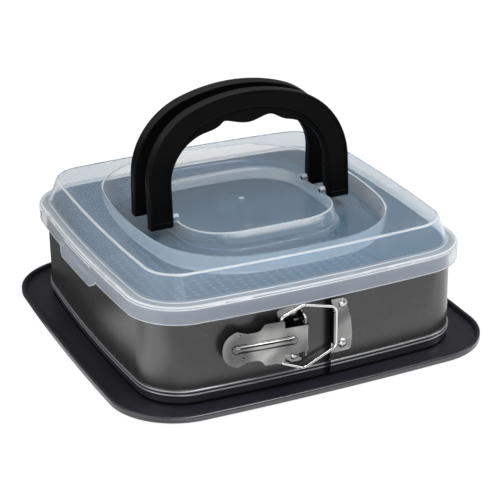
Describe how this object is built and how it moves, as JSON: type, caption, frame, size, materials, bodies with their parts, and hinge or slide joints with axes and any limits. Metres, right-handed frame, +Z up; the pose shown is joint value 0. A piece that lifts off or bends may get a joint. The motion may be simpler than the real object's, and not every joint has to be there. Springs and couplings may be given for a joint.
{
  "type": "springform cake pan with carrying lid",
  "caption": "Square springform cake pan on a serving base, closed by a lever latch, under a translucent carrying lid with fold-down arched handles.",
  "frame": {"origin": "middle of the serving base's flat underside", "axes": "+X along the latch side to the right as seen from the front, +Y from the latch side to the back, +Z up"},
  "size_m": [0.2854, 0.2854, 0.1756],
  "materials": {
    "coated_steel_base": "dark non-stick coating, smooth satin",
    "coated_steel_ring": "dark grey non-stick coating, satin",
    "plated_steel": "bright plated sheet steel",
    "spring_wire": "bright plated spring wire",
    "rivet_steel": "plain bright steel",
    "translucent_lid": "milky translucent polypropylene, glossy",
    "black_handle": "black moulded plastic, satin"
  },
  "bodies": {
    "base": {"base_tray": "coated_steel_base"},
    "ring": {"side_ring": "coated_steel_ring", "latch_bracket": "plated_steel", "bracket_rivet_upper": "rivet_steel", "bracket_rivet_lower": "rivet_steel", "catch_plate": "plated_steel", "catch_rivet_upper": "rivet_steel", "catch_rivet_lower": "rivet_steel"},
    "lever": {"latch_lever": "plated_steel"},
    "bail": {"bail_wire": "spring_wire"},
    "lid": {"lid_shell": "translucent_lid"},
    "front_handle": {"front_handle": "black_handle"},
    "rear_handle": {"rear_handle": "black_handle"}
  },
  "joints": [
    {"name": "ring_lift", "type": "slide", "parent": "base", "child": "ring", "axis": [0, 0, 1], "range_m": [0, 0.09]},
    {"name": "lever_swing", "type": "hinge", "parent": "ring", "child": "lever", "pos_m": [-0.0134, -0.1293, 0.0388], "axis": [0, 0, 1], "range_deg": [0, 150]},
    {"name": "bail_swing", "type": "hinge", "parent": "lever", "child": "bail", "pos_m": [-0.03022, -0.12761, 0.0388], "axis": [0, 0, 1], "range_deg": [-150, 0]},
    {"name": "lid_lift", "type": "slide", "parent": "ring", "child": "lid", "axis": [0, 0, 1], "range_m": [0, 0.06]},
    {"name": "front_handle_fold", "type": "hinge", "parent": "lid", "child": "front_handle", "pos_m": [0, -0.0145, 0.0905], "axis": [1, 0, 0], "range_deg": [0, 95]},
    {"name": "rear_handle_fold", "type": "hinge", "parent": "lid", "child": "rear_handle", "pos_m": [0, 0.0145, 0.0905], "axis": [-1, 0, 0], "range_deg": [0, 95]}
  ],
  "couplings": [
    {"joint": "bail_swing", "follows": "lever_swing", "ratio": -1}
  ]
}
